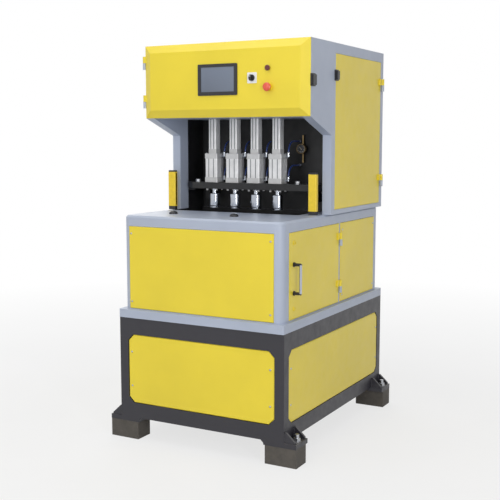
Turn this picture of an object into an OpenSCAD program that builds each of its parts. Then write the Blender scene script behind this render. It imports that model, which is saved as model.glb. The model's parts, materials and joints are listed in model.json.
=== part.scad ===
// Four-cavity semi-automatic stretch blow moulding machine.
// Millimetres, +Z up, the operator stands on the -Y side.
// The origin is at floor level under the middle of the machine.

/* [Base] */
// Width of the base frame
body_w = 900; // [880:10:960]
// Depth of the base frame, front to back
body_d = 1200; // [1180:10:1300]
// Height of the welded base frame
base_h = 498; // [440:2:560]
// Depth of the rectangular tube of the base frame
tube_t = 40; // [30:1:50]
// Margin beside each base panel
base_side_margin = 48; // [40:1:60]
// Margin under each base panel
base_low_margin = 74; // [60:1:90]
// Margin over each base panel
base_top_margin = 82; // [60:1:90]
// Corner cut of the base panels
base_corner_cut = 29; // [20:1:40]
// Height of the foot blocks
foot_block_h = 88; // [60:1:120]
// Width of the foot blocks
foot_block_w = 160; // [150:5:165]
// Front to back depth of the foot blocks
foot_block_d = 100; // [90:5:110]
// Thickness of the foot plates
foot_plate_t = 22; // [16:1:35]
// Front to back depth of the foot plates
foot_plate_d = 120; // [110:5:150]
// How far the foot plates stand out beyond the sides
foot_reach = 62; // [56:1:70]
// Height of the gussets on the foot plates
gusset_h = 50; // [40:2:80]
// Radius of the holes for the anchor bolts
anchor_hole_r = 11; // [9:0.5:12]
// Radius of the anchor bolts
anchor_bolt_r = 10; // [8:0.5:10]

/* [Clamp housing] */
// Height of the rim plate under the housing
band_h = 41; // [30:1:50]
// How far the rim plate stands out beyond the housing
band_lip = 18; // [12:1:18]
// Height of the clamp housing
housing_h = 457; // [440:1:500]
// Gap from the base side to the housing side
housing_inset = 18; // [16:1:24]
// Sheet thickness of the housing
sheet = 3; // [2:0.5:4]
// Radius of the upright corners of the housing
corner_r = 40; // [30:1:48]
// Thickness of the table plate
table_t = 10; // [8:1:12]
// Chamfer round the table plate
table_chamfer = 9; // [5:1:9]
// Height of the panels in the housing
panel_h = 402; // [380:2:410]
// Thickness of the yellow panels
panel_t = 4; // [3:0.5:5]
// Gap round each panel
panel_gap = 1.5; // [1:0.5:2.5]
// Distance from the front edge of the table opening to the parting plane
table_edge = 146; // [136:1:150]
// Width of the opening in the table
table_open_w = 726; // [722:1:728]
// Depth of the opening in the table
table_open_d = 300; // [290:5:305]

/* [Head] */
// Height of the head above its lower edge
head_h = 354; // [330:2:380]
// Clear height from the table to the head
work_h = 468; // [460:2:500]
// How far each side frame stands out beyond the base side
head_over = 3; // [2:1:6]
// Distance from the base front to the back of the head cover
head_front = 252; // [240:2:270]
// Depth of the bevelled head cover
cover_d = 25; // [20:1:40]
// Width of the bevel of the head cover
cover_bevel = 42; // [30:1:50]
// Thickness of the side frames
side_t = 45; // [40:1:50]
// Distance from the front of the columns to the parting plane
column_edge = 66; // [60:1:74]
// Front to back depth of the column in front of the upper door
column_d = 44; // [40:1:60]
// Fall of the sloped lower edge of the head
slope_drop = 85; // [60:1:110]

/* [Blowing units] */
// Number of cavities
cavities = 4; // [4:1:4]
// Depth of the mould tops under the table
mould_drop = 60; // [58:1:62]
// Distance between cavities
pitch = 124; // [118:1:125]
// Gap from the left end of the platens to the left side of the housing
platen_side = 39; // [37:1:44]
// Gap from the front panel to the front clamp cylinder
clamp_front = 40; // [36:1:50]
// Side of the sealing cylinder covers
seal_w = 76; // [72:1:80]
// Height of the sealing cylinders
seal_h = 148; // [140:1:160]
// Bore radius of the sealing cylinders
seal_bore_r = 31.5; // [30:0.5:32]
// Side of the stretch cylinder profile
stretch_w = 47; // [45:1:50]
// Length of the stretch cylinders
stretch_h = 476; // [470:2:490]
// Bore radius of the stretch cylinders
stretch_bore_r = 17; // [16:0.5:18]
// Radius of the stretch rods
rod_r = 7; // [5:0.5:7]
// Thickness of the cross plate
cross_t = 32; // [25:1:36]
// Front to back depth of the cross plate
cross_d = 120; // [110:2:130]
// Height of the underside of the cross plate over the table
cross_z = 111; // [105:1:120]
// Radius of the nozzle body
nozzle_r = 27; // [25:0.5:28]
// Length of the nozzle body
nozzle_h = 78; // [74:1:80]
// Radius of the hollow seal rod
seal_rod_r = 12.5; // [11:0.5:14]

/* [Clamp unit] */
// Width of a mould half
mould_w = 540; // [530:2:560]
// Height of a mould half
mould_h = 350; // [345:1:355]
// Thickness of a mould half
mould_t = 85; // [80:1:88]
// Radius of the bottle cavity
bottle_r = 44; // [40:0.5:48]
// Height of the bottle cavity, without its neck
bottle_h = 305; // [290:1:310]
// Radius of the neck of the cavity
neck_r = 14; // [13:0.5:16]
// Distance from the end of a mould half to the middle of the tie bars
bar_gap = 32; // [30:1:36]
// Distance from the middle of the tie bars to the end of the platens
bar_edge = 38; // [36:1:42]
// Height of the platens
platen_h = 400; // [390:1:404]
// Thickness of the platens and of the clamp plates
platen_t = 35; // [30:1:40]
// Opening stroke of each mould half
clamp_stroke = 110; // [90:2:112]
// Radius of the tie bars
bar_r = 22.5; // [20:0.5:25]
// Outer radius of the clamp cylinders
clamp_r = 100; // [90:1:110]
// Length of the clamp cylinders
clamp_l = 204; // [200:1:208]
// Radius of the clamp rods
clamp_rod_r = 22.5; // [20:0.5:25]

/* [Controls] */
// Width of the touch panel
hmi_w = 216; // [200:1:230]
// Height of the touch panel
hmi_h = 148; // [140:1:160]
// Side of the rotary switch plate
switch_w = 50; // [45:1:56]
// Radius of the signal button
button_r = 13; // [10:0.5:15]
// Radius of the emergency stop head
estop_r = 20; // [16:0.5:22]
// Height of the light curtains
curtain_h = 178; // [160:2:200]
// Width of the light curtains
curtain_w = 44; // [40:1:46]

/* [Fits] */
// Radial clearance of every sliding fit
fit = 0.1; // [0.05:0.01:0.1]
// Radial clearance of the hinge pins
pin_fit = 0.1; // [0.05:0.01:0.1]
// Radius of the hinge pins
pin_r = 4; // [3:0.5:5]
// Radius of the hinge barrels
barrel_r = 8; // [7:0.5:9]
// Height of one half of a hinge barrel
barrel_h = 32; // [25:1:40]

/* [Hidden] */

$fn = 48;
eps = 0.01;

yellow = [0.90, 0.76, 0.16];
grey = [0.66, 0.70, 0.78];
charcoal = [0.22, 0.22, 0.25];
black = [0.07, 0.07, 0.08];
silver = [0.80, 0.80, 0.82];
steel = [0.55, 0.56, 0.58];
block_grey = [0.32, 0.31, 0.29];

// Levels above the floor
base_z = foot_block_h + foot_plate_t;
band_z = base_z + base_h;
housing_z = band_z + band_h;
table_z = housing_z + housing_h;
head_z = table_z + work_h;
top_z = head_z + head_h;
panel_z = housing_z + 4;
panel_top = panel_z + panel_h;

// Clamp unit, side to side and front to back
bar_x = mould_w / 2 + bar_gap;
platen_w = 2 * (bar_x + bar_edge);
boss_h = 18;
clamp_tail = 8;
plate_gap = mould_t + platen_t + clamp_stroke + boss_h + 6;

// Front to back positions
front_y = -body_d / 2;
rear_y = body_d / 2;
housing_front = front_y + 12;
housing_rear = rear_y - 12;
head_y = front_y + head_front;
part_y = housing_front + sheet + clamp_front + clamp_tail + clamp_l + platen_t + plate_gap;
column_y = part_y - column_edge;
open_front = part_y - table_edge;
open_rear = open_front + table_open_d;
door_margin = 80;
door_split_d = 650;
door_front = front_y + door_margin;
door_split = front_y + door_split_d;
door_rear = rear_y - door_margin;
upper_front = column_y + column_d;
cab_rear = rear_y - 24;
upper_rear = cab_rear - 36;

// Side to side positions
housing_x = body_w / 2 - housing_inset;
side_x = body_w / 2 + head_over;
side_in = side_x - side_t;
open_left = -housing_x + 24;
open_right = open_left + table_open_w;
panel_left = -housing_x + corner_r - 4;
panel_right = housing_x - corner_r;
liner_t = 2;
liner_rear = open_rear + 8;

// Blowing unit levels
cross_low = table_z + cross_z;
seal_z = cross_low + cross_t;
stretch_z = seal_z + seal_h;
stretch_top = stretch_z + stretch_h;
seal_cap = 26;
stretch_cap = 24;
nozzle_top = cross_low - 25;
nozzle_low = nozzle_top - nozzle_h;
seal_piston_h = 22;
rod_bore = rod_r + fit;
piston_h = 18;
rod_tip = nozzle_low + 12;
rod_top = stretch_top - stretch_cap - 12;

// Clamp unit levels
rim_h = 26;
platen_z = housing_z + 20;
mould_top = table_z - mould_drop;
mould_z = mould_top - mould_h;
bar_low = platen_z + 45;
bar_high = platen_z + platen_h - 45;
axis_z = platen_z + platen_h / 2;
clamp_cap = 28;
clamp_bore_r = clamp_r - 12;
clamp_piston = 28;
mech_x = platen_w / 2 + platen_side - housing_x;

function row_x(i) = mech_x + (i - (cavities - 1) / 2) * pitch;

// A box from its lowest to its highest corner
module block(a, b) {
    translate(a) cube(b - a);
}

// A plate in the XZ plane, its front face at y, extruded to the back
module upright(y, t) {
    translate([0, y + t, 0]) rotate([90, 0, 0]) linear_extrude(t) children();
}

// A plate in the YZ plane, its inner face at x, extruded to the right
module side_plate(x, t) {
    translate([x, 0, 0]) rotate([90, 0, 90]) linear_extrude(t) children();
}

// Rectangle from corner to corner
module span(a, b) {
    translate(a) square(b - a);
}

// Rectangle with cut corners
module cut_corner(a, b, c) {
    polygon([[a[0] + c, a[1]], [b[0] - c, a[1]], [b[0], a[1] + c], [b[0], b[1] - c],
             [b[0] - c, b[1]], [a[0] + c, b[1]], [a[0], b[1] - c], [a[0], a[1] + c]]);
}

// Rectangle with round corners, made of exact arcs
module round_span(a, b, r) {
    translate([a[0] + r, a[1]]) square([b[0] - a[0] - 2 * r, b[1] - a[1]]);
    translate([a[0], a[1] + r]) square([b[0] - a[0], b[1] - a[1] - 2 * r]);
    for (x = [a[0] + r, b[0] - r], y = [a[1] + r, b[1] - r]) translate([x, y]) circle(r);
}

// Base

base_in_x = body_w / 2 - base_side_margin;
base_in_y = body_d / 2 - base_side_margin;
base_low = base_z + base_low_margin;
base_high = band_z - base_top_margin;
ledge = 14;
panel_seat = 10;

module base_window_x(grow, cut) {
    cut_corner([-base_in_x - grow, base_low - grow], [base_in_x + grow, base_high + grow], cut);
}

module base_window_y(grow, cut) {
    cut_corner([-base_in_y - grow, base_low - grow], [base_in_y + grow, base_high + grow], cut);
}

foot_bolt_x = body_w / 2 + foot_reach / 2 + 6;
foot_bolt_y = front_y + foot_plate_d / 2;
gusset_t = 12;

module foot_plate() {
    leg = body_w / 2;
    x0 = leg - 105;
    x1 = leg + foot_reach;
    difference() {
        union() {
            block([x0, front_y, foot_block_h], [x1, front_y + foot_plate_d, base_z]);
            upright(front_y, gusset_t)
                polygon([[x0 - 14, base_z], [x0, base_z - 14], [x0 + 30, base_z]]);
            for (y = [front_y + 4, front_y + foot_plate_d - gusset_t - 4]) upright(y, gusset_t)
                polygon([[leg, base_z - eps], [x1 - 8, base_z - eps], [x1 - 8, base_z + 8],
                         [leg + 8, base_z + gusset_h], [leg, base_z + gusset_h]]);
        }
        translate([foot_bolt_x, foot_bolt_y, foot_block_h - 1])
            cylinder(r = anchor_hole_r, h = foot_plate_t + 2);
    }
}

module base_frame() {
    color(charcoal) {
        difference() {
            block([-body_w / 2, front_y, base_z], [body_w / 2, rear_y, band_z]);
            block([-body_w / 2 + tube_t, front_y + tube_t, base_z - 1],
                  [body_w / 2 - tube_t, rear_y - tube_t, band_z + 1]);
            for (s = [0, 1]) mirror([0, s, 0]) {
                upright(front_y - 1, tube_t + 2) base_window_x(-ledge, base_corner_cut - 6);
                upright(front_y - 1, panel_seat + 1) base_window_x(0, base_corner_cut);
            }
            for (s = [0, 1]) mirror([s, 0, 0]) {
                side_plate(body_w / 2 - tube_t - 1, tube_t + 2)
                    base_window_y(-ledge, base_corner_cut - 6);
                side_plate(body_w / 2 - panel_seat, tube_t)
                    base_window_y(0, base_corner_cut);
            }
        }
    }
}

module foot_plates() {
    color(charcoal)
        for (sx = [0, 1], sy = [0, 1]) mirror([sx, 0, 0]) mirror([0, sy, 0]) foot_plate();
}

module foot_blocks() {
    color(block_grey)
        for (sx = [0, 1], sy = [0, 1]) mirror([sx, 0, 0]) mirror([0, sy, 0])
            translate([body_w / 2 + foot_reach - foot_block_w, front_y + 2, 0])
                cube([foot_block_w, foot_block_d, foot_block_h]);
}

module anchor_bolts() {
    washer = 3;
    color(silver)
        for (sx = [0, 1], sy = [0, 1]) mirror([sx, 0, 0]) mirror([0, sy, 0])
            translate([foot_bolt_x, foot_bolt_y, base_z]) {
                cylinder(r = anchor_bolt_r + 9, h = washer);
                translate([0, 0, washer]) cylinder(r = anchor_bolt_r + 7, h = 13, $fn = 6);
                translate([0, 0, 1 - foot_plate_t]) cylinder(r = anchor_bolt_r, h = foot_plate_t + 32);
            }
}

// Folded panel with cut corners and a bevelled edge, drawn in XY, outer face at z = panel_d
panel_d = panel_seat - 2;
module base_panel(a, b) {
    bevel = 3;
    cut = base_corner_cut;
    difference() {
        union() {
            linear_extrude(panel_d - bevel) cut_corner(a, b, cut);
            hull() {
                translate([0, 0, panel_d - bevel]) linear_extrude(eps) cut_corner(a, b, cut);
                translate([0, 0, panel_d - eps]) linear_extrude(eps)
                    cut_corner(a + [bevel, bevel], b - [bevel, bevel], cut - 2);
            }
        }
        translate([0, 0, -1]) linear_extrude(panel_d - panel_t + 1)
            cut_corner(a + [panel_t, panel_t] * 1.6, b - [panel_t, panel_t] * 1.6, cut - 3);
    }
    for (x = [a[0] + 20, b[0] - 20], y = [a[1] + 85, b[1] - 85])
        translate([x, y, panel_d - eps]) cylinder(r1 = 5.5, r2 = 4, h = 1.8);
}

module base_panel_long() {
    base_panel([-base_in_y + panel_gap, base_low + panel_gap],
               [base_in_y - panel_gap, base_high - panel_gap]);
}

module base_panel_short() {
    base_panel([-base_in_x + panel_gap, base_low + panel_gap],
               [base_in_x - panel_gap, base_high - panel_gap]);
}

module base_panels() {
    color(yellow) for (m = [0, 1]) {
        mirror([0, m, 0]) translate([0, front_y + panel_seat, 0]) rotate([90, 0, 0])
            base_panel_short();
        mirror([m, 0, 0]) translate([body_w / 2 - panel_seat, 0, 0]) rotate([90, 0, 90])
            base_panel_long();
    }
}

// Clamp housing

module rim_plate() {
    x = housing_x + band_lip;
    color(grey) difference() {
        translate([0, 0, band_z]) linear_extrude(band_h)
            round_span([-x, housing_front - band_lip], [x, housing_rear + band_lip], 6);
        block([-housing_x + 60, housing_front + 60, band_z - 1],
              [housing_x - 60, housing_rear - 60, band_z + band_h - 14]);
    }
}

side_win = [[door_front, door_split - 8], [door_split + 8, door_rear]];
rear_panel_x = housing_x - corner_r;

module housing_outline(inset) {
    round_span([-housing_x + inset, housing_front + inset],
               [housing_x - inset, housing_rear - inset], corner_r - inset);
}

module window_ring(a, b, lip) {
    difference() {
        span(a - [lip, lip], b + [lip, lip]);
        span(a + [lip, lip], b - [lip, lip]);
    }
}

module hinge_lower(x, y, z) {
    translate([x, y, z]) {
        cylinder(r = barrel_r, h = barrel_h);
        cylinder(r = pin_r, h = 2 * barrel_h - 2);
    }
}

module hinge_upper(x, y, z) {
    translate([x, y, z + barrel_h + 0.3]) difference() {
        cylinder(r = barrel_r, h = barrel_h);
        translate([0, 0, -1]) cylinder(r = pin_r + pin_fit, h = barrel_h);
    }
}

hinge_gap = barrel_r + 0.5;
side_hinge_x = housing_x + hinge_gap;
hinge_inset = 50;
side_hinge_z = [panel_z + hinge_inset, panel_top - hinge_inset - 2 * barrel_h];

// Threaded holes for lifting eyes in the front strip of the table, closed by caps
lift_left = 207;
lift_right = 137;
lift_depth = 195;
lift_x = [mech_x - lift_left, mech_x + lift_right];
lift_y = front_y + lift_depth;
lift_hole_r = 8;

module clamp_housing() {
    lip = 8;
    color(grey) {
        difference() {
            union() {
                difference() {
                    union() {
                        translate([0, 0, housing_z]) linear_extrude(housing_h - table_chamfer)
                            housing_outline(0);
                        hull() {
                            translate([0, 0, table_z - table_chamfer - eps]) linear_extrude(eps)
                                housing_outline(0);
                            translate([0, 0, table_z - eps]) linear_extrude(eps)
                                housing_outline(table_chamfer);
                        }
                    }
                    translate([0, 0, housing_z - 1]) linear_extrude(housing_h - table_t + 1)
                        housing_outline(sheet);
                }
                upright(housing_front + sheet - eps, sheet)
                    window_ring([panel_left, panel_z], [panel_right, panel_top], lip);
                mirror([0, 1, 0]) upright(housing_front + sheet - eps, sheet)
                    window_ring([-rear_panel_x, panel_z], [rear_panel_x, panel_top], lip);
                for (s = [0, 1], w = side_win) mirror([s, 0, 0])
                    side_plate(housing_x - 2 * sheet + eps, sheet)
                        window_ring([w[0], panel_z], [w[1], panel_top], lip);
            }
            upright(housing_front - 1, sheet + 1)
                span([panel_left, panel_z], [panel_right, panel_top]);
            mirror([0, 1, 0]) upright(housing_front - 1, sheet + 1)
                span([-rear_panel_x, panel_z], [rear_panel_x, panel_top]);
            for (s = [0, 1], w = side_win) mirror([s, 0, 0])
                side_plate(housing_x - sheet, sheet + 1)
                    span([w[0], panel_z], [w[1], panel_top]);
            block([open_left, open_front, table_z - 20], [open_right, open_rear, table_z + 1]);
            block([-housing_x, housing_front, housing_z - 40], [housing_x, housing_rear, housing_z]);
            for (x = lift_x) translate([x, lift_y, table_z - 20]) cylinder(r = lift_hole_r, h = 21);
        }
        // folded rim round the opening in the table
        translate([0, 0, table_z - rim_h]) linear_extrude(rim_h - sheet) difference() {
            span([open_left - sheet, open_front - sheet], [open_right + sheet, open_rear + sheet]);
            span([open_left, open_front], [open_right, open_rear]);
        }
        for (s = [0, 1], z = side_hinge_z) mirror([s, 0, 0]) {
            hinge_lower(side_hinge_x, door_split, z);
            block([housing_x - eps, door_split - 4, z], [side_hinge_x, door_split + 4, z + barrel_h]);
        }
    }
}

// Tray panel with folded edges, drawn in XY, seated at z = 0, outer face at z = t
module tray(a, b, t, bevel = 1.5) {
    hull() {
        linear_extrude(t - bevel) span(a, b);
        translate([0, 0, t - eps]) linear_extrude(eps)
            span(a + [bevel, bevel], b - [bevel, bevel]);
    }
}

module corner_screws(a, b, t, inset_x, inset_y) {
    for (x = [a[0] + inset_x, b[0] - inset_x], y = [a[1] + inset_y, b[1] - inset_y])
        translate([x, y, t - eps]) cylinder(r1 = 5.5, r2 = 4, h = 1.8);
}

tray_t = sheet + 2;

module front_panel() {
    a = [panel_left + panel_gap, panel_z + panel_gap];
    b = [panel_right - panel_gap, panel_top - panel_gap];
    color(yellow) translate([0, housing_front + sheet, 0]) rotate([90, 0, 0]) {
        tray(a, b, tray_t);
        corner_screws(a, b, tray_t, 14, 34);
    }
}

module rear_panel() {
    a = [-rear_panel_x + panel_gap, panel_z + panel_gap];
    b = [rear_panel_x - panel_gap, panel_top - panel_gap];
    color(yellow) mirror([0, 1, 0]) translate([0, housing_front + sheet, 0])
        rotate([90, 0, 0]) {
            tray(a, b, tray_t);
            corner_screws(a, b, tray_t, 14, 34);
        }
}

module rear_side_panels() {
    a = [side_win[1][0] + panel_gap, panel_z + panel_gap];
    b = [side_win[1][1] - panel_gap, panel_top - panel_gap];
    color(yellow) for (s = [0, 1]) mirror([s, 0, 0])
        translate([housing_x - sheet, 0, 0]) rotate([90, 0, 90]) {
            tray(a, b, tray_t);
            corner_screws(a, b, tray_t, 20, 34);
        }
}

handle_y = door_front + 46;
handle_z = panel_z + 188;
handle_l = 132;

module side_door() {
    a = [side_win[0][0] + panel_gap, panel_z + panel_gap];
    b = [side_win[0][1] - panel_gap, panel_top - panel_gap];
    translate([housing_x - sheet, 0, 0]) rotate([90, 0, 90]) {
        tray(a, b, tray_t);
        for (z = [a[1] + 10, b[1] - 10])
            translate([handle_y - 8, z, tray_t - eps]) cylinder(r1 = 4.5, r2 = 3.5, h = 1.8);
        for (z = [a[1] + 48, b[1] - 48])
            translate([handle_y + 4, z, tray_t - eps]) difference() {
                cylinder(r = 11, h = 3);
                translate([0, 0, 1]) cylinder(r = 8, h = 3);
                translate([-9, -1.5, 0.4]) cube([18, 3, 4]);
            }
    }
    for (z = side_hinge_z) {
        hinge_upper(side_hinge_x, door_split, z);
        difference() {
            block([housing_x + 0.5, side_win[0][1] - 24, z + barrel_h + 0.3],
                  [side_hinge_x, door_split, z + 2 * barrel_h + 0.3]);
            translate([side_hinge_x, door_split, z]) cylinder(r = barrel_r - 1, h = 3 * barrel_h);
        }
    }
}

module side_door_right() {
    color(yellow) side_door();
}

module side_door_left() {
    color(yellow) mirror([1, 0, 0]) side_door();
}

// Bow handle with a round grip between two feet
module bow_handle(reach) {
    r = 7;
    for (s = [-1, 1]) translate([0, 0, s * handle_l / 2]) {
        rotate([0, 90, 0]) cylinder(r = 11, h = 5);
        rotate([0, 90, 0]) cylinder(r = r, h = reach);
        translate([reach, 0, 0]) sphere(r);
    }
    translate([reach, 0, -handle_l / 2]) cylinder(r = r, h = handle_l);
}

module door_handle_right() {
    color(silver) translate([housing_x - sheet + tray_t, handle_y, handle_z]) bow_handle(34);
}

module door_handle_left() {
    color(silver) mirror([1, 0, 0])
        translate([housing_x - sheet + tray_t, handle_y, handle_z]) bow_handle(34);
}

// Clamp unit

module clamp_plate_outline() {
    span([mech_x - platen_w / 2, housing_z], [mech_x + platen_w / 2, platen_z + platen_h]);
}

module both_sides() {
    children();
    translate([0, 2 * part_y, 0]) mirror([0, 1, 0]) children();
}

module clamp_plate() {
    y = part_y - plate_gap - platen_t;
    difference() {
        upright(y, platen_t) difference() {
            clamp_plate_outline();
            for (s = [-1, 1]) translate([mech_x + s * 210, axis_z]) round_span([-45, -110], [45, 110], 18);
        }
        for (x = [-bar_x, bar_x], z = [bar_low, bar_high])
            translate([mech_x + x, y - 1, z]) rotate([-90, 0, 0]) cylinder(r = bar_r, h = platen_t + 2);
        translate([mech_x, y - 1, axis_z]) rotate([-90, 0, 0])
            cylinder(r = clamp_rod_r + fit, h = platen_t + 2);
    }
}

module clamp_plates() {
    color(charcoal) both_sides() clamp_plate();
}

module tie_bars() {
    reach = plate_gap + platen_t + 30;
    color(silver) for (x = [-bar_x, bar_x], z = [bar_low, bar_high]) {
        translate([mech_x + x, part_y - reach, z]) rotate([-90, 0, 0])
            cylinder(r = bar_r, h = 2 * reach);
        for (s = [0, 1]) translate([0, 2 * part_y * s, 0]) mirror([0, s, 0])
            translate([mech_x + x, part_y - plate_gap - platen_t - 22, z]) rotate([-90, 0, 0])
                cylinder(r = bar_r + 12, h = 22, $fn = 6);
    }
}

module clamp_cylinder() {
    back = part_y - plate_gap - platen_t;
    translate([mech_x, back - clamp_l, axis_z]) rotate([-90, 0, 0]) difference() {
        union() {
            cylinder(r = clamp_r - 6, h = clamp_l);
            linear_extrude(clamp_cap)
                round_span([-clamp_r, -clamp_r], [clamp_r, clamp_r], 14);
            translate([0, 0, clamp_l - clamp_cap]) linear_extrude(clamp_cap)
                round_span([-clamp_r, -clamp_r], [clamp_r, clamp_r], 14);
            for (x = [-1, 1], y = [-1, 1]) translate([x * (clamp_r - 16), y * (clamp_r - 16), -clamp_tail])
                cylinder(r = 7, h = clamp_l + clamp_tail);
        }
        translate([0, 0, clamp_cap]) cylinder(r = clamp_bore_r, h = clamp_l - 2 * clamp_cap);
        translate([0, 0, clamp_cap]) cylinder(r = clamp_rod_r + fit, h = clamp_l);
    }
}

module clamp_cylinders() {
    color(silver) both_sides() clamp_cylinder();
}

module platen() {
    y = part_y - mould_t - platen_t;
    piston_y = part_y - plate_gap - platen_t - clamp_cap - clamp_piston - 1;
    color(steel) {
        difference() {
            upright(y, platen_t)
                span([mech_x - platen_w / 2, platen_z], [mech_x + platen_w / 2, platen_z + platen_h]);
            for (x = [-bar_x, bar_x], z = [bar_low, bar_high])
                translate([mech_x + x, y - 1, z]) rotate([-90, 0, 0])
                    cylinder(r = bar_r + fit, h = platen_t + 2);
        }
        difference() {
            for (x = [-bar_x, bar_x], z = [bar_low, bar_high])
                translate([mech_x + x, y - boss_h, z]) rotate([-90, 0, 0])
                    cylinder(r = bar_r + 12, h = boss_h + eps);
            for (x = [-bar_x, bar_x], z = [bar_low, bar_high])
                translate([mech_x + x, y - boss_h - 1, z]) rotate([-90, 0, 0])
                    cylinder(r = bar_r + fit, h = boss_h + 2);
        }
        translate([mech_x, piston_y, axis_z]) rotate([-90, 0, 0]) {
            cylinder(r = clamp_rod_r, h = y - piston_y + eps);
            cylinder(r = clamp_bore_r - fit, h = clamp_piston);
        }
    }
}

module platen_front() {
    platen();
}

module platen_rear() {
    translate([0, 2 * part_y, 0]) mirror([0, 1, 0]) platen();
}

// Half profile of a bottle with its neck, as radius against height
module bottle_profile() {
    top = mould_h + 1;
    difference() {
        union() {
            polygon([[0, 0], [bottle_r - 12, 0], [bottle_r, 12], [bottle_r, 84],
                     [bottle_r - 5, 92], [bottle_r - 5, 168], [bottle_r, 176], [bottle_r, 212],
                     [bottle_r - 8, 242], [neck_r + 10, bottle_h - 18], [neck_r, bottle_h],
                     [neck_r, top], [0, top]]);
        }
        for (z = [24, 42, 60, 190]) translate([bottle_r + 1, z]) circle(4);
        for (z = [108, 130, 152]) translate([bottle_r - 4, z]) circle(4);
    }
}

module mould() {
    base_z0 = mould_top - bottle_h - 24;
    color(silver) difference() {
        upright(part_y - mould_t, mould_t) difference() {
            cut_corner([mech_x - mould_w / 2, mould_z], [mech_x + mould_w / 2, mould_top], 6);
        }
        for (i = [0 : cavities - 1]) translate([row_x(i), part_y, base_z0])
            rotate_extrude() bottle_profile();
        for (s = [-1, 1], z = [mould_z + 26, mould_top - 26])
            translate([mech_x + s * (mould_w / 2 - 12), part_y - 20, z]) rotate([-90, 0, 0])
                cylinder(r = 6, h = 30);
        for (i = [0 : cavities - 1], z = [mould_z + 120, mould_z + 240])
            translate([mech_x - mould_w / 2 - 1, part_y - mould_t + 16, z]) rotate([0, 90, 0])
                cylinder(r = 6, h = 30);
    }
}

module mould_front() {
    mould();
}

module mould_rear() {
    translate([0, 2 * part_y, 0]) mirror([0, 1, 0]) mould();
}

// Side frames and head

slope_z = head_z - slope_drop;

module side_outline() {
    polygon([[head_y, head_z], [column_y, slope_z], [column_y, table_z],
             [cab_rear - sheet, table_z], [cab_rear - sheet, top_z], [head_y, top_z]]);
}

module side_inner() {
    t = sheet;
    polygon([[head_y + t, head_z + t], [column_y + t, slope_z + t], [column_y + t, table_z + t],
             [cab_rear - 2 * t, table_z + t], [cab_rear - 2 * t, top_z - t],
             [head_y + t, top_z - t]]);
}

upper_low = table_z + 22;
upper_top = top_z - 48;
upper_hinge_x = side_x + hinge_gap;
upper_hinge_y = upper_rear + 8;
upper_hinge_inset = 90;
upper_hinge_z = [upper_low + upper_hinge_inset, upper_top - upper_hinge_inset - 2 * barrel_h];
cover_hinge_z = [head_z + hinge_inset, top_z - hinge_inset - 2 * barrel_h];
cover_hinge_x = -side_x - hinge_gap;
latch_z = head_z + 165;
latch_back = 24;
door_latch_z = head_z + 201;
latch_front = 14;

module side_frame() {
    lip = 8;
    fold = 24;
    difference() {
        union() {
            difference() {
                side_plate(side_in, side_t) side_outline();
                side_plate(side_in + sheet, side_t - 2 * sheet) side_inner();
                side_plate(side_in - 1, sheet + 2) {
                    span([head_y + fold, head_z + fold], [cab_rear - fold, top_z - fold]);
                    span([liner_rear + fold, table_z + fold], [cab_rear - fold, head_z + fold + 1]);
                }
            }
            side_plate(side_x - 2 * sheet + eps, sheet)
                window_ring([upper_front, upper_low], [upper_rear, upper_top], lip);
        }
        side_plate(side_x - sheet, sheet + 1) span([upper_front, upper_low], [upper_rear, upper_top]);
    }
    for (z = upper_hinge_z) {
        hinge_lower(upper_hinge_x, upper_hinge_y, z);
        block([side_x - eps, upper_hinge_y - 4, z], [upper_hinge_x, upper_hinge_y + 4, z + barrel_h]);
    }
}

module latch_stud(y, z) {
    translate([side_x - eps, y, z]) rotate([0, 90, 0]) cylinder(r = 5, h = 6);
}

module side_frame_right() {
    color(grey) {
        side_frame();
        latch_stud(head_y + latch_back, latch_z);
    }
}

module side_frame_left() {
    color(grey) {
        mirror([1, 0, 0]) side_frame();
        for (z = cover_hinge_z) {
            hinge_lower(cover_hinge_x, head_y, z);
            block([cover_hinge_x, head_y, z], [-side_x + 1, head_y + 14, z + barrel_h]);
        }
    }
}

module head_shell() {
    hole = stretch_w + 10;
    color(grey) {
        block([-side_in, head_y, top_z - sheet], [side_in, cab_rear - sheet, top_z]);
        upright(head_y, sheet) window_ring([-side_in + 15, head_z + 15], [side_in - 15, top_z - 15], 15);
        difference() {
            block([-side_in, head_y, head_z], [side_in, liner_rear, head_z + sheet]);
            for (i = [0 : cavities - 1])
                block([row_x(i) - hole / 2, part_y - hole / 2, head_z - 1],
                      [row_x(i) + hole / 2, part_y + hole / 2, head_z + sheet + 1]);
        }
    }
}

inlet_x = -160;
inlet_rise = 80;
inlet_in = 30;
inlet_out = 24;
inlet_z = table_z + inlet_rise;

module upper_rear_panel() {
    y = cab_rear - sheet;
    color(grey) {
        difference() {
            block([-side_x, y, table_z], [side_x, y + sheet, top_z]);
            for (s = [-1, 1], k = [0:7])
                translate([s * 190, y - 1, top_z - 120 - 26 * k]) rotate([-90, 0, 0])
                    linear_extrude(sheet + 2) round_span([-110, -4], [110, 4], 3.9);
            translate([inlet_x, y - 1, inlet_z]) rotate([-90, 0, 0]) cylinder(r = 18, h = 6);
        }
        for (x = [-side_x + 16, side_x - 16], k = [0:3])
            translate([x, y + sheet - eps, table_z + 50 + k * (top_z - table_z - 100) / 3])
                rotate([-90, 0, 0]) cylinder(r1 = 5.5, r2 = 4, h = 1.8);
    }
}

// Head cover and its controls

cover_front = head_y - cover_d;
hmi_x = -23;
hmi_z = head_z + 103 + hmi_h;
switch_x = 164;
switch_z = head_z + 180;
button_x = 247;
button_z = head_z + 223;
estop_x = 250;
estop_z = head_z + 136;

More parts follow.
